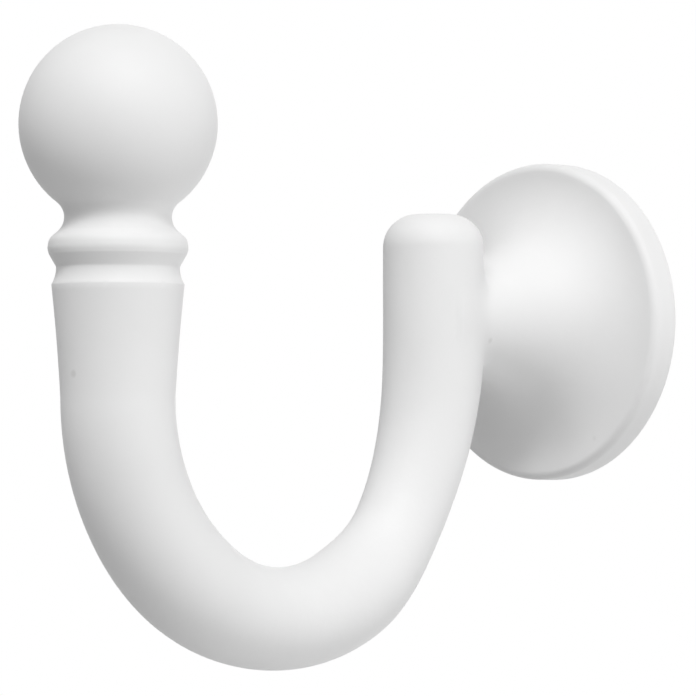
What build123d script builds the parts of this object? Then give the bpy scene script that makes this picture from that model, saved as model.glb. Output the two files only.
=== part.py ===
from build123d import *
from math import cos, radians, sin, sqrt, tan
import os

# Ball-ended wall hook, cast in one piece. A round rose against the wall flares forward into a
# neck that meets an upright leg. From the leg an arm drops, makes a tapered U-bend away from the
# wall and comes up to a turned collar and a ball.
# Millimetres. The origin is the centre of the rose's back. The wall is the plane Y = 0, the hook
# stands out from it along -Y, +Z is up, and the whole hook is symmetric about X = 0.

# Rose: the round plate and its flare, from the wall forward
rose_radius = 15.0
rim_thickness = 3.05
rim_edge_radius = 0.8
back_edge_radius = 0.3
flare_length = 13.0
flare_turn = 56.0
flare_neck_radius = 4.3

# Back of the rose: a cored recess round the boss of a tapped blind hole for an M5 stud
recess_radius = 12.6
recess_rim_depth = 1.4
recess_boss_depth = 3.2
recess_corner_radius = 0.6
boss_radius = 5.2
stud_hole_radius = 2.1
stud_hole_depth = 11.0
drill_point_angle = 118.0

# Wall leg: the upright stub in front of the rose
leg_distance = 17.0
leg_top_height = 9.65
leg_top_rounding = 3.1
leg_drop = 2.1
neck_fillet_radius = 1.0

# Centreline of the arm below the leg: three tangent arcs, of which the last makes the rest of
# the half turn, and an upright run to the collar
first_arc_radius = 32.1
first_arc_turn = 32.0
second_arc_radius = 16.95
second_arc_turn = 44.0
third_arc_radius = 19.55
upright_run = 9.7

# Radius of the arm's round section along that centreline
leg_radius = 4.68
waist_radius = 4.03
bend_radius = 4.6
rising_radius = 4.96
arm_top_radius = 5.74
section_spacing = 3.0

# Turned collar between the arm and the ball, from the arm's top edge up
groove_radius = 5.33
shoulder_height = 1.5
underside_height = 1.1
ring_edge_radius = 5.95
ring_radius = 6.09
ring_width = 1.35
upper_slope = 50.0
cove_radius = 1.6
collar_neck_radius = 4.65
ball_radius = 8.58

# Half sections and the centreline are drawn in the side plane: x is the distance off the wall
# and y the height over the stud hole's axis.
side_plane = Plane(origin=(0, 0, 0), x_dir=(0, -1, 0), z_dir=(-1, 0, 0))
stud_axis = Axis((0, 0, 0), (0, -1, 0))


def flare_radii():
    """Radii of the flare's two tangent arcs, the outer one turning through flare_turn."""
    drop = rose_radius - rim_edge_radius - flare_neck_radius
    turn_sin = sin(radians(flare_turn))
    turn_cos = cos(radians(flare_turn))
    scale = turn_sin * turn_cos - (1 - turn_sin) * (1 - turn_cos)
    outer = (drop * turn_cos - flare_length * (1 - turn_sin)) / scale
    inner = (flare_length * turn_sin - drop * (1 - turn_cos)) / scale
    return outer, inner


def rose():
    """The plate and its trumpet flare, revolved, with the neck run into the leg."""
    outer_arc_radius, inner_arc_radius = flare_radii()
    with BuildPart() as plate:
        with BuildSketch(side_plane):
            with BuildLine():
                back = Line((0, 0), (0, rose_radius - back_edge_radius))
                back_edge = JernArc(back @ 1, (0, 1), back_edge_radius, -90)
                side = Line(back_edge @ 1, (rim_thickness - rim_edge_radius, rose_radius))
                rim_edge = JernArc(side @ 1, (1, 0), rim_edge_radius, -90)
                face = JernArc(rim_edge @ 1, (0, -1), outer_arc_radius, flare_turn)
                neck = JernArc(face @ 1, face % 1, inner_arc_radius, 90 - flare_turn)
                inside_leg = Line(neck @ 1, (leg_distance, flare_neck_radius))
                Polyline(inside_leg @ 1, (leg_distance, 0), (0, 0))
            make_face()
        revolve(axis=stud_axis)
    return plate.part


def back_recess():
    """Ring-shaped recess that cores the rose's back, deeper towards the boss."""
    with BuildPart() as recess:
        with BuildSketch(side_plane):
            with BuildLine():
                Polyline(
                    (0, boss_radius),
                    (recess_boss_depth, boss_radius),
                    (recess_rim_depth, recess_radius),
                    (0, recess_radius),
                    close=True,
                )
            outline = make_face()
            corners = outline.vertices().sort_by(Axis.X)[-2:]
            fillet(corners, recess_corner_radius)
        revolve(axis=stud_axis)
    return recess.part


def stud_hole():
    """Blind tapping hole with its drill point, opening in the boss."""
    point_depth = stud_hole_radius / tan(radians(drill_point_angle / 2))
    with BuildPart() as hole:
        with BuildSketch(side_plane):
            with BuildLine():
                Polyline(
                    (0, 0),
                    (0, stud_hole_radius),
                    (stud_hole_depth, stud_hole_radius),
                    (stud_hole_depth + point_depth, 0),
                    close=True,
                )
            make_face()
        revolve(axis=stud_axis)
    return hole.part


def arm_centreline():
    """Edges of the arm's centreline, from the leg's shoulder to the arm's top."""
    third_arc_turn = 180 - first_arc_turn - second_arc_turn
    shoulder = (leg_distance, leg_top_height - leg_top_rounding)
    with BuildLine(side_plane) as centreline:
        leg = Line(shoulder, (leg_distance, -leg_drop))
        first = JernArc(leg @ 1, leg % 1, first_arc_radius, first_arc_turn)
        second = JernArc(first @ 1, first % 1, second_arc_radius, second_arc_turn)
        third = JernArc(second @ 1, second % 1, third_arc_radius, third_arc_turn)
        Line(third @ 1, third @ 1 + Vector(0, 0, upright_run))
    return centreline.wire()


def ease(share):
    """Smooth step from 0 to 1."""
    return share * share * (3 - 2 * share)


def arm_stations():
    """Places along the centreline, as (travel, radius), between which the radius eases."""
    third_arc_turn = 180 - first_arc_turn - second_arc_turn
    leg_end = leg_top_height - leg_top_rounding + leg_drop
    first_end = leg_end + first_arc_radius * radians(first_arc_turn)
    second_end = first_end + second_arc_radius * radians(second_arc_turn)
    to_bottom = 90 - first_arc_turn - second_arc_turn
    bottom = second_end + third_arc_radius * radians(to_bottom)
    third_end = second_end + third_arc_radius * radians(third_arc_turn)
    return [
        (0, leg_radius),
        (leg_end, leg_radius),
        (first_end, waist_radius),
        ((first_end + bottom) / 2, bend_radius),
        (bottom, bend_radius),
        ((bottom + third_end) / 2, rising_radius),
        (third_end, rising_radius),
        (third_end + upright_run, arm_top_radius),
    ]


def arm_radius(travel, stations):
    """Radius of the section at a distance along the centreline. The upright run flares out."""
    for start, end in zip(stations, stations[1:]):
        if travel <= end[0]:
            break
    share = (travel - start[0]) / (end[0] - start[0])
    top_flare = end is stations[-1]
    blend = share * (share + 2) / 3 if top_flare else ease(share)
    return start[1] + (end[1] - start[1]) * blend


def arm(centreline):
    """Round arm, lofted through sections square to its centreline."""
    stations = arm_stations()
    length = centreline.length
    count = round(length / section_spacing)
    sections = []
    for index in range(count + 1):
        share = index / count
        section_plane = Plane(centreline @ share, x_dir=(1, 0, 0), z_dir=centreline % share)
        sections.append(section_plane * Circle(arm_radius(share * length, stations)))
    return loft(sections)


def leg_cap():
    """Rounded top of the wall leg."""
    with BuildPart() as cap:
        with BuildSketch(Plane.XZ):
            with BuildLine():
                base = Line((0, 0), (leg_radius, 0))
                rounding = JernArc(base @ 1, (0, 1), leg_top_rounding, 90)
                Polyline(rounding @ 1, (0, leg_top_rounding), (0, 0))
            make_face()
        revolve(axis=Axis.Z)
    return Pos(0, -leg_distance, leg_top_height - leg_top_rounding) * cap.part


def collar_and_ball(base):
    """Grooved collar, cove and ball, turned about the rising end of the arm."""
    ring_bottom = shoulder_height + underside_height
    ring_top = ring_bottom + ring_width
    slope = radians(upper_slope)
    cove_centre_radius = collar_neck_radius + cove_radius
    cove_start_radius = cove_centre_radius - cove_radius * cos(slope)
    cove_start = ring_top + (ring_edge_radius - cove_start_radius) / tan(slope)
    cove_centre = cove_start + cove_radius * sin(slope)
    centre_gap = ball_radius + cove_radius
    ball_centre = cove_centre + sqrt(centre_gap**2 - cove_centre_radius**2)
    ball_share = ball_radius / centre_gap
    ball_start = (
        cove_centre_radius * ball_share,
        ball_centre - (ball_centre - cove_centre) * ball_share,
    )
    with BuildPart() as turned:
        with BuildSketch(Plane.XZ):
            with BuildLine():
                bottom = Line((0, 0), (arm_top_radius, 0))
                groove = (groove_radius, shoulder_height)
                TangentArc(groove, bottom @ 1, tangent=(0, -1))
                underside = Line(groove, (ring_edge_radius, ring_bottom))
                ring_top_edge = (ring_edge_radius, ring_top)
                ring_middle = (ring_radius, (ring_bottom + ring_top) / 2)
                ThreePointArc(underside @ 1, ring_middle, ring_top_edge)
                shoulder = Line(ring_top_edge, (cove_start_radius, cove_start))
                RadiusArc(shoulder @ 1, ball_start, cove_radius)
                ball_top = (0, ball_centre + ball_radius)
                ThreePointArc(ball_start, (ball_radius, ball_centre), ball_top)
                Line(ball_top, (0, 0))
            make_face()
        revolve(axis=Axis.Z)
    return Pos(base) * turned.part


def fillet_neck(body):
    """Rounds the inner corner where the neck runs into the leg."""
    neck_end = (0, leg_radius - leg_distance, 0)
    seam = body.edges().filter_by(GeomType.BSPLINE).sort_by_distance(neck_end)[0]
    return body.fillet(neck_fillet_radius, [seam])


def hook():
    """The whole casting as one solid."""
    centreline = arm_centreline()
    body = rose() + leg_cap() + arm(centreline) + collar_and_ball(centreline @ 1)
    return fillet_neck(body) - back_recess() - stud_hole()


os.makedirs("parts", exist_ok=True)
casting = hook()
casting.label = "hook"
export_step(casting, "parts/hook.step")
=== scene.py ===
from math import atan, ceil, cos, degrees, hypot, radians, sin, sqrt, tan, tau

import bmesh
import bpy
import numpy as np
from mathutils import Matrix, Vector, noise


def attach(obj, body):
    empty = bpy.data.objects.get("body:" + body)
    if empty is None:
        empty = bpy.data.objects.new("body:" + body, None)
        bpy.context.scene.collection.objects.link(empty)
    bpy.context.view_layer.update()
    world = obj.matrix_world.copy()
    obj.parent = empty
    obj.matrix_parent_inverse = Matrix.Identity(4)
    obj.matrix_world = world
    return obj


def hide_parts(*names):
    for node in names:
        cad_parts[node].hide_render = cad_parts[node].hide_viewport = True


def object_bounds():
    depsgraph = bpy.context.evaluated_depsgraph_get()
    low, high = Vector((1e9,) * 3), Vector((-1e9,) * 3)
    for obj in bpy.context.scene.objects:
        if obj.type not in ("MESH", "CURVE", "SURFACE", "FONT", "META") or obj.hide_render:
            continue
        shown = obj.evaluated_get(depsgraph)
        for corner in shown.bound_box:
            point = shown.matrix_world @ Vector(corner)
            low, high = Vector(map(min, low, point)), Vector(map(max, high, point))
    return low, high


# A white ball-ended wall hook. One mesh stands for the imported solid, in the same place and built
# from the same driving sizes, with what the solid leaves out: edges softened by the coat, a
# smoother blend between neck and leg, the faintly uneven cast surface and the M5 thread.
# Sizes are in millimetres, angles in degrees. The wall is the plane Y = 0 and the hook stands out
# along -Y.

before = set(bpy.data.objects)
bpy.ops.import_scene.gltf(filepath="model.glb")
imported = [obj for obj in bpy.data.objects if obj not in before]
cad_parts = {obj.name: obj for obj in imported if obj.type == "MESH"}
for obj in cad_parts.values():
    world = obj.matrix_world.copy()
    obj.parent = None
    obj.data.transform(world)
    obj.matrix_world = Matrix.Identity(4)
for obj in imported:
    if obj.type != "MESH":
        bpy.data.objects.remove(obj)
cad_low, cad_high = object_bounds()

mm = 0.001

# Rose: round plate and trumpet flare
rose_radius = 15.0
rim_thickness = 3.05
rim_edge_radius = 0.8
back_edge_radius = 0.3
flare_length = 13.0
flare_turn = 56.0
flare_neck_radius = 4.3

# Cored back and the tapped blind hole
recess_radius = 12.6
recess_rim_depth = 1.4
recess_boss_depth = 3.2
recess_corner_radius = 0.6
boss_radius = 5.2
stud_hole_radius = 2.1
stud_hole_depth = 11.0
drill_point_angle = 118.0
thread_pitch = 0.8
thread_depth = 0.4
thread_crest_share = 0.25
thread_root_share = 0.125

# Leg and the centreline of the arm
leg_distance = 17.0
leg_top_height = 9.65
leg_top_rounding = 3.1
leg_drop = 2.1
first_arc_radius = 32.1
first_arc_turn = 32.0
second_arc_radius = 16.95
second_arc_turn = 44.0
third_arc_radius = 19.55
third_arc_turn = 180 - first_arc_turn - second_arc_turn
upright_run = 9.7

# Radius of the arm along that centreline
leg_radius = 4.68
waist_radius = 4.03
bend_radius = 4.6
rising_radius = 4.96
arm_top_radius = 5.74

# Turned collar and ball
groove_radius = 5.33
shoulder_height = 1.5
underside_height = 1.1
ring_edge_radius = 5.95
ring_radius = 6.09
ring_width = 1.35
upper_slope = 50.0
cove_radius = 1.6
collar_neck_radius = 4.65
ball_radius = 8.58

# Edges softened by the coat
coated_edge_radius = 0.22
coated_groove_radius = 0.35
ring_top_rounding = 1.1
ring_bulge_share = 0.36

# Blend between neck and leg, how far round the seam it is worked on, and how often
neck_blend = 1.0
seam_width = 1.3
seam_margin_height = 0.3
seam_margin_front = 1.5
seam_margin_back = 2.5
lowest_near_neck = -18.0
reach_near_neck = 9.0
relax_rounds = 8
relax_factor = 0.5
settle_rounds = 4
settle_probe = 0.01

# The cast surface sinks by a mean share of its unevenness, more or less in broad and small
# patches. It begins as far off the wall as the rim's edge is rounded, and has its full depth
# after the flat margin.
unevenness = 0.035
mean_sink = 0.5
broad_sink = 0.35
small_sink = 0.15
broad_patch = 5.0
small_patch = broad_patch / 2.6
small_patch_shift = (7, 3, 5)
flat_margin = 1.0

# Fineness of the mesh, with the rings on the leg's flat top, on the hole's drill point and at the
# middle of the rose's front end, which is inside the leg
arm_segments = 96
rose_segments = 144
arm_step = 0.6
flare_step = 0.45
fine_step = 0.14
thread_step = 0.1
leg_top_shares = (0, 0.35, 0.7)
drill_point_shares = (1, 0.6, 0.25, 0)
rose_front_start = 0.8

# Lengths that count as nothing, and the least turn that is shaded as an edge
no_radius = 1e-6
same_place = 1e-4
merge_distance = 0.04
sharp_edge_angle = 40.0


def ease(share):
    """Smooth step from 0 to 1."""
    return share * share * (3 - 2 * share)


# ---- outlines as (radius, height) points -------------------------------------------------------

def arc(centre, radius, start, end, step):
    """Points on an arc from angle start to angle end, both ends included."""
    count = max(2, ceil(radius * abs(radians(end - start)) / step))
    points = []
    for index in range(count + 1):
        angle = radians(start + (end - start) * index / count)
        points.append((centre[0] + radius * cos(angle), centre[1] + radius * sin(angle)))
    return points


def line(start, end, step):
    """Points on a straight run from start to end, both ends included."""
    count = max(1, ceil(hypot(end[0] - start[0], end[1] - start[1]) / step))
    points = []
    for index in range(count + 1):
        share = index / count
        points.append((
            start[0] + (end[0] - start[0]) * share,
            start[1] + (end[1] - start[1]) * share,
        ))
    return points


def corner(before, point, after, radius, step):
    """Arc that rounds the corner at point between the runs to before and after."""
    here = Vector(point)
    back = (Vector(before) - here).normalized()
    ahead = (Vector(after) - here).normalized()
    half_angle = back.angle(ahead) / 2
    reach = radius / tan(half_angle)
    middle = here + (back + ahead).normalized() * (radius / sin(half_angle))
    start = here + back * reach - middle
    end = here + ahead * reach - middle
    count = max(2, ceil(start.angle(end) * radius / step))
    points = []
    for index in range(count + 1):
        direction = start.slerp(end, index / count)
        points.append(tuple(middle + direction * radius))
    return points


def joined(*runs):
    """Runs of points end to end, without doubled points."""
    points = []
    for run in runs:
        for point in run:
            if points and hypot(point[0] - points[-1][0], point[1] - points[-1][1]) < same_place:
                continue
            points.append(point)
    return points


def flare_arcs():
    """Radii of the flare's outer and inner arc, tangent to each other, the face and the neck."""
    drop = rose_radius - rim_edge_radius - flare_neck_radius
    turn_sin = sin(radians(flare_turn))
    turn_cos = cos(radians(flare_turn))
    scale = turn_sin * turn_cos - (1 - turn_sin) * (1 - turn_cos)
    outer = (drop * turn_cos - flare_length * (1 - turn_sin)) / scale
    inner = (flare_length * turn_sin - drop * (1 - turn_cos)) / scale
    return outer, inner


def flare_outline():
    """Neck and face of the flare, from the leg to the rim, as (radius, distance off the wall)."""
    outer, inner = flare_arcs()
    neck_end = rim_thickness + flare_length
    inner_centre = (flare_neck_radius + inner, neck_end)
    outer_centre = (rose_radius - rim_edge_radius, rim_thickness + outer)
    turned = 90 - flare_turn
    neck = arc(inner_centre, inner, 180, 180 + turned, flare_step)
    face = arc(outer_centre, outer, 180 + turned, 270, flare_step)
    return neck, face


def rose_outline():
    """Rose from inside the leg round the rim and the cored back to the mouth of the hole."""
    neck, face = flare_outline()
    rim_centre = (rose_radius - rim_edge_radius, rim_thickness - rim_edge_radius)
    back_centre = (rose_radius - back_edge_radius, back_edge_radius)
    corner_a = (recess_radius, recess_rim_depth)
    corner_b = (boss_radius, recess_boss_depth)
    mouth = stud_hole_radius + thread_depth
    return joined(
        [(0, leg_distance)],
        line((rose_front_start, leg_distance), (flare_neck_radius, leg_distance), flare_step),
        neck,
        face,
        arc(rim_centre, rim_edge_radius, 90, 0, fine_step),
        line((rose_radius, rim_centre[1]), (rose_radius, back_edge_radius), flare_step),
        arc(back_centre, back_edge_radius, 0, -90, fine_step),
        line((back_centre[0], 0), (recess_radius + coated_edge_radius, 0), flare_step),
        corner((rose_radius, 0), (recess_radius, 0), corner_a, coated_edge_radius, fine_step),
        corner((recess_radius, 0), corner_a, corner_b, recess_corner_radius, fine_step),
        corner(corner_a, corner_b, (boss_radius, 0), recess_corner_radius, fine_step),
        corner(corner_b, (boss_radius, 0), (0, 0), coated_edge_radius, fine_step),
        line((boss_radius - coated_edge_radius, 0), (mouth, 0), flare_step),
    )


def collar_outline():
    """Collar and ball above the arm's top edge, as (radius, height)."""
    ring_bottom = shoulder_height + underside_height
    ring_top = ring_bottom + ring_width
    slope = radians(upper_slope)
    cove_centre_radius = collar_neck_radius + cove_radius
    cove_start_radius = cove_centre_radius - cove_radius * cos(slope)
    cove_start = ring_top + (ring_edge_radius - cove_start_radius) / tan(slope)
    cove_centre = cove_start + cove_radius * sin(slope)
    ball_centre = cove_centre + sqrt((ball_radius + cove_radius) ** 2 - cove_centre_radius**2)
    cove_end = degrees(atan((ball_centre - cove_centre) / cove_centre_radius))
    step_in = arm_top_radius - groove_radius
    shoulder_arc = (step_in**2 + shoulder_height**2) / (2 * step_in)
    shoulder_centre = (groove_radius + shoulder_arc, shoulder_height)
    shoulder_start = 180 + degrees(atan(shoulder_height / (shoulder_arc - step_in)))
    shoulder = arc(shoulder_centre, shoulder_arc, shoulder_start, 180, fine_step)
    below_shoulder = (arm_top_radius, -1)
    groove = (groove_radius, shoulder_height)
    lower_edge = (ring_edge_radius, ring_bottom)
    upper_edge = (ring_edge_radius, ring_top)
    ring_bulge = (ring_radius, ring_bottom + ring_width * ring_bulge_share)
    slope_end = (cove_start_radius, cove_start)
    cove_middle = (cove_centre_radius, cove_centre)
    upper_rounding = corner(ring_bulge, upper_edge, slope_end, ring_top_rounding, fine_step)
    slope_start = upper_rounding[-1][1] + fine_step
    # The shoulder and the underside give up the points nearest to the rounded corners.
    return joined(
        corner(below_shoulder, shoulder[0], shoulder[1], coated_edge_radius / 2, fine_step),
        shoulder[2:-2],
        corner(shoulder[-2], groove, lower_edge, coated_groove_radius, fine_step),
        line(groove, lower_edge, fine_step)[1:-1],
        corner(groove, lower_edge, ring_bulge, coated_groove_radius, fine_step),
        corner(lower_edge, ring_bulge, upper_edge, ring_top_rounding, fine_step),
        upper_rounding,
        [point for point in line(upper_edge, slope_end, fine_step) if point[1] > slope_start],
        arc(cove_middle, cove_radius, 180 + upper_slope, 180 - cove_end, fine_step),
        arc((0, ball_centre), ball_radius, -cove_end, 90, arm_step),
    )


# ---- the arm's centreline ----------------------------------------------------------------------

def centreline():
    """Places down the leg, round the bend and up, as (travel, out, up, heading)."""
    leg_length = leg_top_height - leg_top_rounding + leg_drop
    runs = (
        (leg_length, 0),
        (first_arc_radius * radians(first_arc_turn), first_arc_turn),
        (second_arc_radius * radians(second_arc_turn), second_arc_turn),
        (third_arc_radius * radians(third_arc_turn), third_arc_turn),
        (upright_run, 0),
    )
    travel = 0.0
    out = leg_distance
    up = leg_top_height - leg_top_rounding
    heading = -90.0
    places = [(travel, out, up, heading)]
    for length, turn in runs:
        count = ceil(length / arm_step)
        half_turn = radians(turn / count / 2)
        chord = length / count * (sin(half_turn) / half_turn if turn else 1)
        for _ in range(count):
            middle = radians(heading) + half_turn
            out += chord * cos(middle)
            up += chord * sin(middle)
            heading += turn / count
            travel += length / count
            places.append((travel, out, up, heading))
    return places


def arm_stations():
    """Places along the centreline, as (travel, radius), between which the radius eases."""
    leg_end = leg_top_height - leg_top_rounding + leg_drop
    first_end = leg_end + first_arc_radius * radians(first_arc_turn)
    second_end = first_end + second_arc_radius * radians(second_arc_turn)
    bottom = second_end + third_arc_radius * radians(90 - first_arc_turn - second_arc_turn)
    third_end = second_end + third_arc_radius * radians(third_arc_turn)
    return [
        (0, leg_radius),
        (leg_end, leg_radius),
        (first_end, waist_radius),
        ((first_end + bottom) / 2, bend_radius),
        (bottom, bend_radius),
        ((bottom + third_end) / 2, rising_radius),
        (third_end, rising_radius),
        (third_end + upright_run, arm_top_radius),
    ]


def arm_radius(travel, stations):
    """Radius of the arm at a distance along its centreline. The upright run widens faster
    towards its top, and elsewhere the radius eases from one station to the next."""
    for start, end in zip(stations, stations[1:]):
        if travel <= end[0]:
            break
    share = min(1.0, (travel - start[0]) / (end[0] - start[0]))
    upright = end is stations[-1]
    blend = share * (share + 2) / 3 if upright else ease(share)
    return start[1] + (end[1] - start[1]) * blend


# ---- rings and skins ---------------------------------------------------------------------------

def arm_ring(out, up, heading, radius):
    """Ring of points square to the centreline, or a single point where the radius is nothing."""
    centre = Vector((0, -out, up))
    if radius < no_radius:
        return [centre]
    side = Vector((1, 0, 0))
    across = Vector((0, sin(radians(heading)), cos(radians(heading))))
    points = []
    for index in range(arm_segments):
        angle = tau * index / arm_segments
        points.append(centre + (side * cos(angle) + across * sin(angle)) * radius)
    return points


def arm_rings():
    """Rings from the middle of the leg's top to the top of the ball."""
    shoulder = leg_top_height - leg_top_rounding
    flat_radius = leg_radius - leg_top_rounding
    rings = []
    for share in leg_top_shares:
        rings.append(arm_ring(leg_distance, leg_top_height, -90, flat_radius * share))
    for radius, height in arc((flat_radius, shoulder), leg_top_rounding, 90, 0, arm_step / 2)[:-1]:
        rings.append(arm_ring(leg_distance, height, -90, radius))
    stations = arm_stations()
    places = centreline()
    for travel, out, up, heading in places[:-1]:
        rings.append(arm_ring(out, up, heading, arm_radius(travel, stations)))
    _, out, up, heading = places[-1]
    for radius, height in collar_outline():
        rings.append(arm_ring(out, up + height, heading, radius))
    return rings


def rose_ring(radius, off_wall):
    """Ring round the stud hole's axis, or a single point on it."""
    if radius < no_radius:
        return [Vector((0, -off_wall, 0))]
    points = []
    for index in range(rose_segments):
        angle = tau * (index + 0.5) / rose_segments
        points.append(Vector((radius * cos(angle), -off_wall, radius * sin(angle))))
    return points


def thread_ring(off_wall):
    """Ring inside the tapped hole, with the radius that the thread has at each angle."""
    flank_share = 1 - thread_crest_share - thread_root_share
    points = []
    for index in range(rose_segments):
        turned = (index + 0.5) / rose_segments
        phase = (off_wall / thread_pitch + turned) % 1
        from_root = 1 - abs(2 * phase - 1)
        height = (from_root - thread_root_share) / flank_share
        radius = stud_hole_radius + thread_depth * (1 - min(1, max(0, height)))
        angle = tau * turned
        points.append(Vector((radius * cos(angle), -off_wall, radius * sin(angle))))
    return points


def hole_rings():
    """Rings down the tapped hole to its drill point."""
    count = ceil(stud_hole_depth / thread_step)
    rings = [thread_ring(stud_hole_depth * index / count) for index in range(1, count)]
    point_depth = stud_hole_radius / tan(radians(drill_point_angle / 2))
    for share in drill_point_shares:
        depth = stud_hole_depth + point_depth * (1 - share)
        rings.append(rose_ring(stud_hole_radius * share, depth))
    return rings


def skin(rings):
    """Closed mesh through rings that start and end in a single point, and its faces by row."""
    mesh = bmesh.new()
    rows = [[mesh.verts.new(point) for point in ring] for ring in rings]
    faces_by_row = []
    for lower, upper in zip(rows, rows[1:]):
        faces = []
        count = max(len(lower), len(upper))
        for index in range(count):
            after = (index + 1) % count
            if len(lower) == 1:
                corners = (lower[0], upper[after], upper[index])
            elif len(upper) == 1:
                corners = (lower[index], lower[after], upper[0])
            else:
                corners = (lower[index], lower[after], upper[after], upper[index])
            faces.append(mesh.faces.new(corners))
        faces_by_row.append(faces)
    bmesh.ops.recalc_face_normals(mesh, faces=mesh.faces)
    return mesh, faces_by_row


def arm_mesh():
    """Leg, bend, collar and ball."""
    mesh, _ = skin(arm_rings())
    return mesh


def rose_mesh():
    """Rose with its cored back. The faces of the tapped hole take the second material."""
    outline = rose_outline()
    rings = [rose_ring(radius, off_wall) for radius, off_wall in outline]
    mesh, faces_by_row = skin(rings + hole_rings())
    for faces in faces_by_row[len(rings) - 1:]:
        for face in faces:
            face.material_index = 1
    return mesh


def to_object(name, mesh, materials):
    """New object in the scene with this mesh and these materials."""
    data = bpy.data.meshes.new(name)
    mesh.to_mesh(data)
    mesh.free()
    for material in materials:
        data.materials.append(material)
    thing = bpy.data.objects.new(name, data)
    bpy.context.scene.collection.objects.link(thing)
    return thing


# ---- the blend between the neck and the leg ----------------------------------------------------

def outside_neck(points):
    """Distance outside the trumpet flare and its neck, near enough close to its surface."""
    neck, face = flare_outline()
    outline = np.array((neck + face)[::-1])
    off_wall = -points[:, 1]
    radius = np.interp(off_wall, outline[:, 1], outline[:, 0])
    slope = np.interp(off_wall, outline[:, 1], np.gradient(outline[:, 0], outline[:, 1]))
    return (np.hypot(points[:, 0], points[:, 2]) - radius) / np.hypot(1, slope)


def outside_leg(points):
    """Distance outside the leg and the start of the bend."""
    stations = arm_stations()
    places = [
        place for place in centreline()
        if place[2] > lowest_near_neck and place[1] < leg_distance + reach_near_neck
    ]
    centres = np.array([(0, -out, up) for _, out, up, _ in places])
    headings = np.radians([heading for _, _, _, heading in places])
    along = np.stack((0 * headings, -np.cos(headings), np.sin(headings)), 1)
    travels = np.array([travel for travel, _, _, _ in places])
    radii = np.array([arm_radius(travel, stations) for travel in travels])
    offsets = points[:, None, :] - centres[None]
    nearest = np.argmin((offsets**2).sum(2), 1)
    rows = np.arange(len(points))
    offset = offsets[rows, nearest]
    slide = (offset * along[nearest]).sum(1)
    offset = offset - along[nearest] * slide[:, None]
    radius = np.interp(travels[nearest] + slide, travels, radii)
    return np.linalg.norm(offset, axis=1) - radius


def outside_both(points):
    """Distance outside the union of neck and leg with its rounded inner corner."""
    neck = outside_neck(points)
    leg = outside_leg(points)
    overlap = np.maximum(neck_blend - np.abs(neck - leg), 0) / neck_blend
    return np.minimum(neck, leg) - overlap**2 * neck_blend / 4


def settle(points):
    """Points moved square to the surface onto the blended union."""
    for _ in range(settle_rounds):
        gradient = np.empty_like(points)
        for axis in range(3):
            shift = np.zeros(3)
            shift[axis] = settle_probe
            change = outside_both(points + shift) - outside_both(points - shift)
            gradient[:, axis] = change / (2 * settle_probe)
        square = (gradient**2).sum(1)
        points = points - gradient * (outside_both(points) / square)[:, None]
    return points


def blend_neck(mesh):
    """Relaxes the seam where neck and leg meet and lays it on the rounded corner."""
    bmesh.ops.remove_doubles(mesh, verts=mesh.verts, dist=merge_distance)
    highest = leg_top_height - leg_top_rounding + seam_margin_height
    front = -leg_distance - seam_margin_front
    back = -leg_distance + leg_radius + seam_margin_back
    near = [
        vert for vert in mesh.verts
        if abs(vert.co.z) < highest and front < vert.co.y < back
    ]
    points = np.array([vert.co for vert in near])
    close = np.abs(outside_neck(points) - outside_leg(points)) < seam_width
    seam = [vert for vert, is_close in zip(near, close) if is_close]
    for _ in range(relax_rounds):
        bmesh.ops.smooth_vert(
            mesh, verts=seam, factor=relax_factor,
            use_axis_x=True, use_axis_y=True, use_axis_z=True,
        )
        settled = settle(np.array([vert.co for vert in seam]))
        for vert, point in zip(seam, settled):
            vert.co = point


def make_uneven(mesh):
    """Sinks the cast surface by a few hundredths in soft patches, but not at the wall or thread."""
    mesh.normal_update()
    hole_radius = stud_hole_radius + 2 * thread_depth
    hole_end = leg_distance - leg_radius
    moves = []
    for vert in mesh.verts:
        off_wall = -vert.co.y
        in_hole = hypot(vert.co.x, vert.co.z) < hole_radius and off_wall < hole_end
        if in_hole or off_wall < rim_edge_radius:
            continue
        fade = ease(min(1, (off_wall - rim_edge_radius) / flat_margin))
        broad = noise.noise(vert.co / broad_patch)
        small = noise.noise(vert.co / small_patch + Vector(small_patch_shift))
        sink = unevenness * (mean_sink + broad_sink * broad + small_sink * small)
        moves.append((vert, vert.normal * (-sink * fade)))
    for vert, move in moves:
        vert.co += move


def in_fixed_order(mesh):
    """The same mesh with its points and faces in an order that is the same on every run."""
    points = sorted(mesh.verts, key=lambda vert: tuple(vert.co))
    places = {vert: index for index, vert in enumerate(points)}
    faces = []
    for face in mesh.faces:
        corners = [places[vert] for vert in face.verts]
        first = corners.index(min(corners))
        faces.append((corners[first:] + corners[:first], face.material_index))
    ordered = bmesh.new()
    verts = [ordered.verts.new(vert.co) for vert in points]
    for corners, material_index in sorted(faces):
        face = ordered.faces.new([verts[corner] for corner in corners])
        face.material_index = material_index
    mesh.free()
    return ordered


def casting(materials):
    """The whole hook as one closed mesh."""
    arm = to_object("arm_part", arm_mesh(), materials)
    rose = to_object("rose_part", rose_mesh(), materials)
    union = arm.modifiers.new("union", "BOOLEAN")
    union.operation = "UNION"
    union.solver = "EXACT"
    union.object = rose
    bpy.context.view_layer.update()
    whole = arm.evaluated_get(bpy.context.evaluated_depsgraph_get()).to_mesh()
    mesh = bmesh.new()
    mesh.from_mesh(whole)
    bpy.data.objects.remove(arm)
    bpy.data.objects.remove(rose)
    mesh = in_fixed_order(mesh)
    blend_neck(mesh)
    make_uneven(mesh)
    for vert in mesh.verts:
        vert.co *= mm
    for face in mesh.faces:
        face.smooth = True
    piece = to_object("hook_casting", mesh, materials)
    piece.data.set_sharp_from_angle(angle=radians(sharp_edge_angle))
    return piece


# ---- materials ---------------------------------------------------------------------------------

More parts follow.
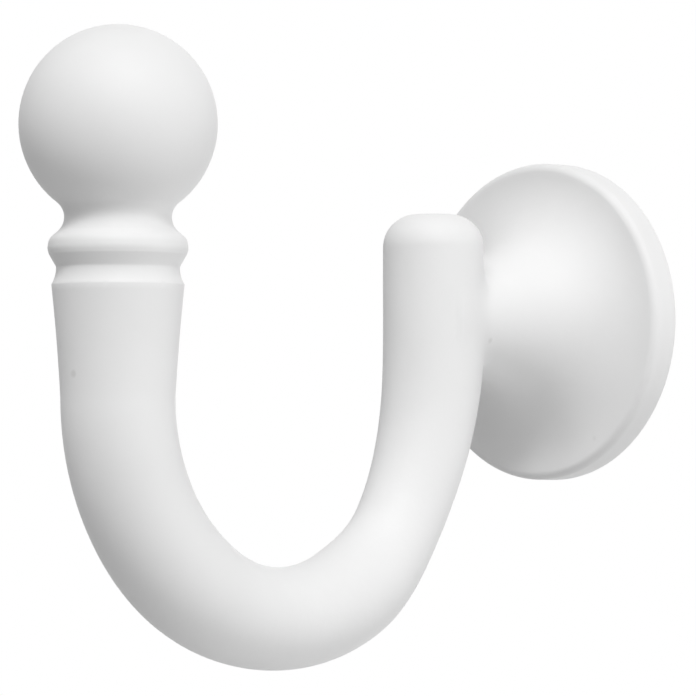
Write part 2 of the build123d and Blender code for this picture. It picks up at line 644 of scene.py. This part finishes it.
# White satin powder coat. The scales count patterns in a metre.
coat_refraction = 1.5
coat_specular = 0.32
coat_roughness = (0.54, 0.60)
gloss_scale = 220
dark_tone = (0.815, 0.815, 0.815, 1)
light_tone = (0.845, 0.845, 0.845, 1)
tone_scale = 90
peel_depth = 0.005
peel_scale = 900
noise_span = (0.3, 0.7)

# Specks in the coat: one in each cell whose random draw is above the rarity. It is full inside
# its core and gone beyond its edge, both in cell widths.
speck_colour = (0.45, 0.44, 0.42, 1)
speck_strength = 0.25
speck_rarity = 0.93
speck_core = 0.05
speck_edge = 0.11
speck_scale = 260

# Bare zinc in the tapped hole
zinc_colour = (0.56, 0.57, 0.59, 1)
zinc_roughness = (0.25, 0.5)
zinc_scale = 2500


def new_material(name):
    """Material with its nodes, its links and its shader."""
    material = bpy.data.materials.new(name)
    material.use_nodes = True
    nodes = material.node_tree.nodes
    return material, nodes, material.node_tree.links, nodes["Principled BSDF"]


def feed(links, source, target):
    """Links a socket to the target, or sets the target to a plain number or colour."""
    if isinstance(source, bpy.types.NodeSocket):
        links.new(source, target)
    else:
        target.default_value = source


def combined(nodes, links, operation, first, second):
    """Result of a math node on a socket and a second socket or number."""
    node = nodes.new("ShaderNodeMath")
    node.operation = operation
    feed(links, first, node.inputs[0])
    feed(links, second, node.inputs[1])
    return node.outputs[0]


def mapped(nodes, links, value, before, after):
    """Value carried from one span of numbers to another, and held at its ends."""
    node = nodes.new("ShaderNodeMapRange")
    node.inputs["From Min"].default_value = before[0]
    node.inputs["From Max"].default_value = before[1]
    node.inputs["To Min"].default_value = after[0]
    node.inputs["To Max"].default_value = after[1]
    links.new(value, node.inputs["Value"])
    return node.outputs["Result"]


def mixed(nodes, links, share, first, second):
    """Colour between a first one, where the share is 0, and a second one, where it is 1."""
    node = nodes.new("ShaderNodeMix")
    node.data_type = "RGBA"
    feed(links, share, node.inputs["Factor"])
    feed(links, first, node.inputs["A"])
    feed(links, second, node.inputs["B"])
    return node.outputs["Result"]


def cloudy(nodes, links, place, scale, before, after, detail=2):
    """Soft noise with the span before carried to the span after."""
    texture = nodes.new("ShaderNodeTexNoise")
    texture.inputs["Scale"].default_value = scale
    texture.inputs["Detail"].default_value = detail
    links.new(place, texture.inputs["Vector"])
    return mapped(nodes, links, texture.outputs["Fac"], before, after)


def specks(nodes, links, place):
    """Share of the speck colour: small round spots in a few of many cells, else 0."""
    cells = nodes.new("ShaderNodeTexVoronoi")
    cells.inputs["Scale"].default_value = speck_scale
    links.new(place, cells.inputs["Vector"])
    spot = mapped(nodes, links, cells.outputs["Distance"], (speck_core, speck_edge), (1, 0))
    draw = nodes.new("ShaderNodeSeparateColor")
    links.new(cells.outputs["Color"], draw.inputs["Color"])
    chosen = combined(nodes, links, "GREATER_THAN", draw.outputs["Red"], speck_rarity)
    shown = combined(nodes, links, "MULTIPLY", spot, chosen)
    return combined(nodes, links, "MULTIPLY", shown, speck_strength)


def white_coat():
    """Satin white powder coat: fine orange peel, slightly uneven tone and gloss, a few specks."""
    material, nodes, links, shader = new_material("white_coat")
    shader.inputs["IOR"].default_value = coat_refraction
    shader.inputs["Specular IOR Level"].default_value = coat_specular
    place = nodes.new("ShaderNodeTexCoord").outputs["Object"]
    gloss = cloudy(nodes, links, place, gloss_scale, noise_span, coat_roughness)
    links.new(gloss, shader.inputs["Roughness"])
    cloud = cloudy(nodes, links, place, tone_scale, noise_span, (0, 1), detail=3)
    tone = mixed(nodes, links, cloud, dark_tone, light_tone)
    speckled = mixed(nodes, links, specks(nodes, links, place), tone, speck_colour)
    links.new(speckled, shader.inputs["Base Color"])
    peel = nodes.new("ShaderNodeBump")
    peel.inputs["Strength"].default_value = 1
    peel.inputs["Distance"].default_value = peel_depth * mm
    height = cloudy(nodes, links, place, peel_scale, noise_span, (0, 1))
    links.new(height, peel.inputs["Height"])
    links.new(peel.outputs["Normal"], shader.inputs["Normal"])
    return material


def tapped_zinc():
    """Bare zinc alloy where the thread was cut after coating."""
    material, nodes, links, shader = new_material("tapped_zinc")
    shader.inputs["Metallic"].default_value = 1
    shader.inputs["Base Color"].default_value = zinc_colour
    place = nodes.new("ShaderNodeTexCoord").outputs["Object"]
    gloss = cloudy(nodes, links, place, zinc_scale, (0, 1), zinc_roughness)
    links.new(gloss, shader.inputs["Roughness"])
    return material


# ---- camera, floor, light ----------------------------------------------------------------------

view_azimuth = 44.53
view_elevation = -1.302
view_distance = 390.0
view_target = (0.0, -28.258, -2.904)
sensor_width = 36.0
lens_length = 222.8
nearest_seen = 10.0

# Even light that the white surroundings give off
ambient = 0.23

# Distant lamps: name, direction as shares to the camera's right, up and towards it, strength, width
lamps = (
    ("key", (0.09, 0.77, 0.64), 1.0, 12),
    ("top", (-0.17, 0.87, 0.47), 0.65, 30),
    ("front", (0.07, 0.53, 0.85), 0.83, 60),
    ("side", (0.98, -0.17, 0.0), 0.8, 60),
    ("low", (0.76, -0.47, 0.44), 0.45, 60),
    ("left", (-0.82, 0.57, 0.0), 0.28, 60),
    ("back", (0.34, 0.17, -0.93), 0.3, 60),
)

floor_drop = 300.0
floor_size = 600.0
floor_colour = (0.8, 0.8, 0.8, 1)
floor_lift = 0.3
white = (1, 1, 1, 1)


def toward_viewer():
    """Unit vectors to the right, up and towards the camera."""
    azimuth = radians(view_azimuth)
    elevation = radians(view_elevation)
    back = Vector((
        sin(azimuth) * cos(elevation),
        -cos(azimuth) * cos(elevation),
        sin(elevation),
    ))
    right = Vector((0, 0, 1)).cross(back).normalized()
    return right, back.cross(right), back


def add_camera():
    """Camera at the photograph's viewing angle."""
    _, _, back = toward_viewer()
    lens = bpy.data.cameras.new("camera")
    lens.sensor_width = sensor_width
    lens.lens = lens_length
    lens.clip_start = nearest_seen * mm
    camera = bpy.data.objects.new("camera", lens)
    bpy.context.scene.collection.objects.link(camera)
    camera.location = (Vector(view_target) + back * view_distance) * mm
    camera.rotation_euler = back.to_track_quat("Z", "Y").to_euler()
    bpy.context.scene.camera = camera


def add_sun(name, shares, strength, width):
    """Soft distant lamp in a direction given from the camera's point of view."""
    right, up, back = toward_viewer()
    lamp = bpy.data.lights.new(name, "SUN")
    lamp.energy = strength
    lamp.angle = radians(width)
    sun = bpy.data.objects.new(name, lamp)
    bpy.context.scene.collection.objects.link(sun)
    direction = right * shares[0] + up * shares[1] + back * shares[2]
    sun.rotation_euler = direction.to_track_quat("Z", "Y").to_euler()


def seen_directly(nodes, links):
    """1 where the camera, a reflection or a transmission sees the surface, else 0."""
    path = nodes.new("ShaderNodeLightPath")
    seen = path.outputs["Is Camera Ray"]
    for name in ("Is Glossy Ray", "Is Transmission Ray"):
        seen = combined(nodes, links, "MAXIMUM", seen, path.outputs[name])
    return seen


def add_world():
    """White to the eye, a plain even light for the object."""
    world = bpy.data.worlds.new("studio")
    bpy.context.scene.world = world
    world.use_nodes = True
    nodes = world.node_tree.nodes
    links = world.node_tree.links
    light = nodes["Background"]
    light.inputs["Color"].default_value = white
    level = mapped(nodes, links, seen_directly(nodes, links), (0, 1), (ambient, 1))
    links.new(level, light.inputs["Strength"])


def add_floor():
    """Pale floor below the hook. It is lifted to white for the eye and keeps the shadow."""
    mesh = bmesh.new()
    bmesh.ops.create_grid(mesh, x_segments=1, y_segments=1, size=floor_size * mm / 2)
    material, nodes, links, shader = new_material("floor")
    shader.inputs["Base Color"].default_value = floor_colour
    shader.inputs["Roughness"].default_value = 1
    shader.inputs["Specular IOR Level"].default_value = 0
    shader.inputs["Emission Color"].default_value = white
    lift = combined(nodes, links, "MULTIPLY", seen_directly(nodes, links), floor_lift)
    links.new(lift, shader.inputs["Emission Strength"])
    floor = to_object("floor", mesh, [material])
    floor.location.z = cad_low.z - floor_drop * mm


def main():
    """The hook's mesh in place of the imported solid, then the camera, the light and the floor."""
    bpy.context.scene.view_settings.view_transform = "Standard"
    piece = casting([white_coat(), tapped_zinc()])
    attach(piece, "root")
    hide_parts("hook")
    add_camera()
    add_world()
    for name, shares, strength, width in lamps:
        add_sun(name, shares, strength, width)
    add_floor()


main()
